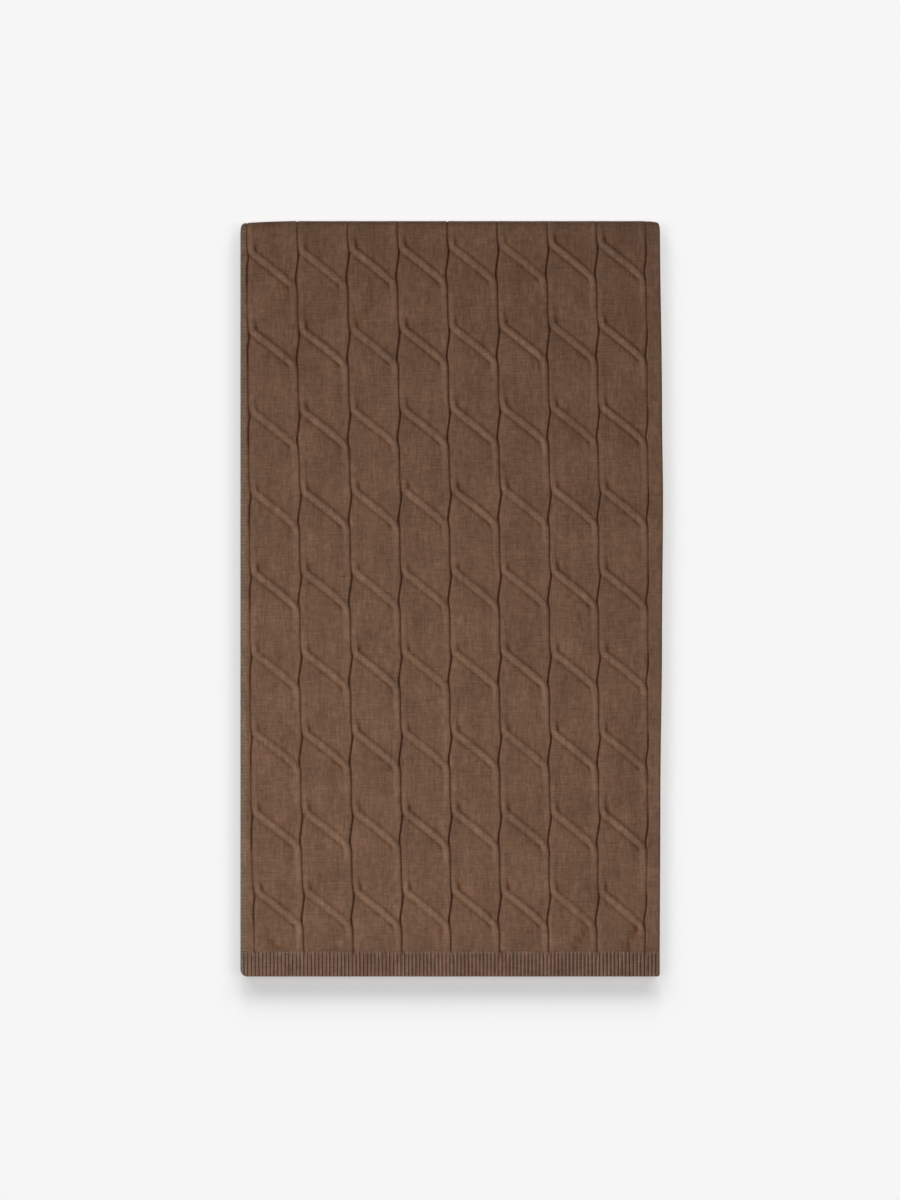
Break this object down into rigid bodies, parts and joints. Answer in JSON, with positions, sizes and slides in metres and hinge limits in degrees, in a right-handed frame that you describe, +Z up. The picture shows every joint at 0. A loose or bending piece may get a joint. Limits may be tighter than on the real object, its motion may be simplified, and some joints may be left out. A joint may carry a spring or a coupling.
{
  "type": "knit scarf",
  "caption": "Fine-gauge scarf with wide rope cables between sunk purl lines and a ribbed end, folded into a flat rectangle that lies on a surface.",
  "frame": {"origin": "centre of the flat underside, on the surface that the folded scarf lies on", "axes": "+Z up out of the surface, +Y along the folded length from the ribbed end to the far fold, +X across the width to the right as seen from above with the ribbed end nearest"},
  "size_m": [0.2514, 0.45, 0.0103],
  "materials": {
    "cable_knit": "matte fine-gauge knit, mid brown, soft and slightly fuzzy",
    "rib_knit": "matte one-by-one rib, mid brown"
  },
  "bodies": {
    "root": {"cable_panel": "cable_knit", "rib_hem": "rib_knit", "folded_layers": "cable_knit"}
  },
  "joints": []
}
